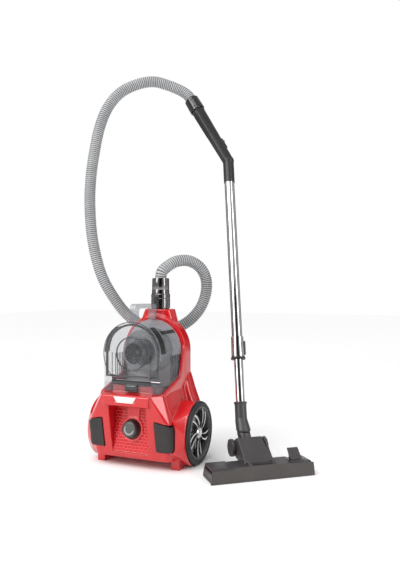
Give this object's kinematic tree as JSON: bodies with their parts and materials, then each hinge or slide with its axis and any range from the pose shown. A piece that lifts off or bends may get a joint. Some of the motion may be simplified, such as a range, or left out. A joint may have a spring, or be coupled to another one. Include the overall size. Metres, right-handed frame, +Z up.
{
  "type": "canister vacuum cleaner",
  "caption": "Bagless canister vacuum cleaner standing parked: red body, smoky dust container, ribbed hose, chrome telescopic wand and floor head",
  "frame": {"origin": "on the floor under the middle of the whole set without its hose", "axes": "+Z up, +X across the canister towards the wand, -Y the canister's front with the knob"},
  "size_m": [0.7811, 0.4568, 1.2319],
  "materials": {
    "red_body": "glossy red moulding",
    "white_plate": "blank white badge plate",
    "dark_knob": "dark grey",
    "grey_cap": "mid grey",
    "steel": "plain steel",
    "tyre": "black tyre",
    "rim_silver": "bright silver spokes over black",
    "black_plastic": "matte black",
    "motor_grey": "mid grey moulding",
    "rubber_seal": "black rubber",
    "filter_white": "white filter fleece",
    "board_green": "green board",
    "black_gloss": "glossy black",
    "hose_grey": "silver grey ribbed hose",
    "smoke_clear": "smoky transparent plastic",
    "grip_dark": "dark satin grip",
    "chrome_tube": "polished chrome",
    "head_dark": "warm dark grey"
  },
  "bodies": {
    "canister": {"back_shell": "red_body", "front_fascia": "red_body", "name_plate": "white_plate", "exhaust_grille": "red_body", "knob_track": "red_body", "pedal_springs": "steel", "wheel_axles": "steel", "motor_housing": "motor_grey", "motor_rubbers": "rubber_seal", "reel_axle": "steel", "cord_outlet": "black_plastic", "exhaust_filter": "filter_white", "control_board": "board_green", "housing_screws": "steel", "inlet_bush": "black_gloss", "inlet_seal": "rubber_seal", "suction_hose": "hose_grey", "pleated_filter": "filter_white", "inner_tube": "chrome_tube", "neck_elbow": "head_dark"},
    "right_wheel": {"tyre_right": "tyre", "rim_right": "rim_silver"},
    "left_wheel": {"tyre_left": "tyre", "rim_left": "rim_silver"},
    "caster_yoke": {"caster_fork": "black_plastic", "caster_pin": "steel"},
    "caster_roller": {"caster_wheel": "tyre"},
    "knob": {"power_knob": "dark_knob", "knob_cap": "grey_cap", "knob_shaft": "steel"},
    "pedal_right": {"power_pedal": "dark_knob"},
    "pedal_left": {"rewind_pedal": "dark_knob"},
    "fan": {"motor_fan": "motor_grey"},
    "reel": {"reel_drum": "motor_grey"},
    "dust_bin": {"bin_shell": "smoke_clear", "flap_pin": "steel", "bin_handle": "smoke_clear", "cyclone_cone": "black_gloss", "separator": "smoke_clear", "bin_cover": "smoke_clear"},
    "flap": {"bin_flap": "smoke_clear", "flap_seal": "rubber_seal"},
    "latch": {"bin_latch": "black_gloss"},
    "connector": {"hose_connector": "black_gloss"},
    "clip": {"connector_clip": "black_gloss"},
    "upper_wand": {"handle_grip": "grip_dark", "outer_tube": "chrome_tube", "telescope_sleeve": "black_gloss"},
    "cuff": {"hose_cuff": "black_gloss"},
    "slider": {"bleed_slider": "black_plastic"},
    "tele_button": {"telescope_button": "grey_cap"},
    "neck": {"neck_barrel": "head_dark", "barrel_caps": "head_dark"},
    "head": {"head_cover": "head_dark", "head_base": "black_plastic", "front_skirt": "head_dark", "roller_axles": "steel"},
    "head_pedal": {"foot_pedal": "head_dark"},
    "brush": {"brush_carriage": "black_plastic"},
    "head_rollers": {"rollers": "tyre"}
  },
  "joints": [
    {"name": "right_wheel_spin", "type": "hinge", "parent": "canister", "child": "right_wheel", "pos_m": [0.00351, -0.06728, 0.091], "axis": [1, 0, 0], "continuous": true},
    {"name": "left_wheel_spin", "type": "hinge", "parent": "canister", "child": "left_wheel", "pos_m": [-0.32849, -0.06728, 0.091], "axis": [1, 0, 0], "continuous": true},
    {"name": "caster_swivel", "type": "hinge", "parent": "canister", "child": "caster_yoke", "pos_m": [-0.16249, -0.00728, 0.332], "axis": [0, 1, 0], "continuous": true},
    {"name": "caster_roll", "type": "hinge", "parent": "caster_yoke", "child": "caster_roller", "pos_m": [-0.16249, 0.01123, 0.32], "axis": [1, 0, 0], "continuous": true},
    {"name": "knob_turn", "type": "hinge", "parent": "canister", "child": "knob", "pos_m": [-0.16249, -0.17428, 0.11], "axis": [0, -0.989, 0.1478], "range_deg": [0, 270]},
    {"name": "power_pedal_press", "type": "slide", "parent": "canister", "child": "pedal_right", "axis": [0, 1, 0], "range_m": [0, 0.004], "stiffness_N_per_m": 900, "springref_m": -0.002},
    {"name": "rewind_pedal_press", "type": "slide", "parent": "canister", "child": "pedal_left", "axis": [0, 1, 0], "range_m": [0, 0.004], "stiffness_N_per_m": 900, "springref_m": -0.002},
    {"name": "fan_spin", "type": "hinge", "parent": "canister", "child": "fan", "pos_m": [-0.10649, -0.06527, 0.125], "axis": [0, 0, 1], "continuous": true},
    {"name": "reel_spin", "type": "hinge", "parent": "canister", "child": "reel", "pos_m": [-0.23849, -0.06527, 0.112], "axis": [1, 0, 0], "continuous": true},
    {"name": "bin_lift_off", "type": "slide", "parent": "canister", "child": "dust_bin", "axis": [0, 0, 1], "range_m": [0, 0.25]},
    {"name": "bin_flap_open", "type": "hinge", "parent": "dust_bin", "child": "flap", "pos_m": [-0.16249, -0.18077, 0.248], "axis": [1, 0, 0], "range_deg": [0, 90]},
    {"name": "bin_latch_press", "type": "slide", "parent": "dust_bin", "child": "latch", "axis": [0, 1, 0], "range_m": [0, 0.003], "stiffness_N_per_m": 600, "springref_m": -0.002},
    {"name": "connector_swivel", "type": "hinge", "parent": "canister", "child": "connector", "pos_m": [-0.16249, -0.00128, 0.45], "axis": [0, 0, 1], "continuous": true},
    {"name": "connector_clip_press", "type": "slide", "parent": "connector", "child": "clip", "axis": [0, 1, 0], "range_m": [0, 0.003], "stiffness_N_per_m": 600, "springref_m": -0.002},
    {"name": "telescope_slide", "type": "slide", "parent": "canister", "child": "upper_wand", "axis": [-0.1473, 0.2603, 0.9542], "range_m": [-0.11, 0.2], "deforming": ["suction_hose"]},
    {"name": "telescope_button_press", "type": "slide", "parent": "upper_wand", "child": "tele_button", "axis": [-0.8704, -0.4924, 0], "range_m": [0, 0.002], "stiffness_N_per_m": 600, "springref_m": -0.002},
    {"name": "bleed_slide", "type": "slide", "parent": "upper_wand", "child": "slider", "axis": [-0.5239, 0.0103, 0.8517], "range_m": [0, 0.012]},
    {"name": "hose_cuff_swivel", "type": "hinge", "parent": "upper_wand", "child": "cuff", "pos_m": [-0.12501, 0.20081, 1.11114], "axis": [-0.5239, 0.0103, 0.8517], "continuous": true},
    {"name": "neck_swivel", "type": "hinge", "parent": "canister", "child": "neck", "pos_m": [0.12051, -0.03127, 0.1], "axis": [0, 0, 1], "range_deg": [-8, 75]},
    {"name": "head_tilt", "type": "hinge", "parent": "neck", "child": "head", "pos_m": [0.13751, -0.04177, 0.06], "axis": [-0.7593, -0.6508, 0], "range_deg": [0, 18]},
    {"name": "foot_pedal_rock", "type": "hinge", "parent": "head", "child": "head_pedal", "pos_m": [0.18046, -0.09189, 0.0355], "axis": [-0.7593, -0.6508, 0], "range_deg": [0, 10]},
    {"name": "brush_drop", "type": "slide", "parent": "head", "child": "brush", "axis": [0, 0, -1], "range_m": [0, 0.004]},
    {"name": "rollers_spin", "type": "hinge", "parent": "head", "child": "head_rollers", "pos_m": [0.17135, -0.08126, 0.0085], "axis": [0.7593, 0.6508, 0], "continuous": true}
  ],
  "couplings": [
    {"joint": "foot_pedal_rock", "follows": "brush_drop", "rad_per_m": 43.633}
  ]
}
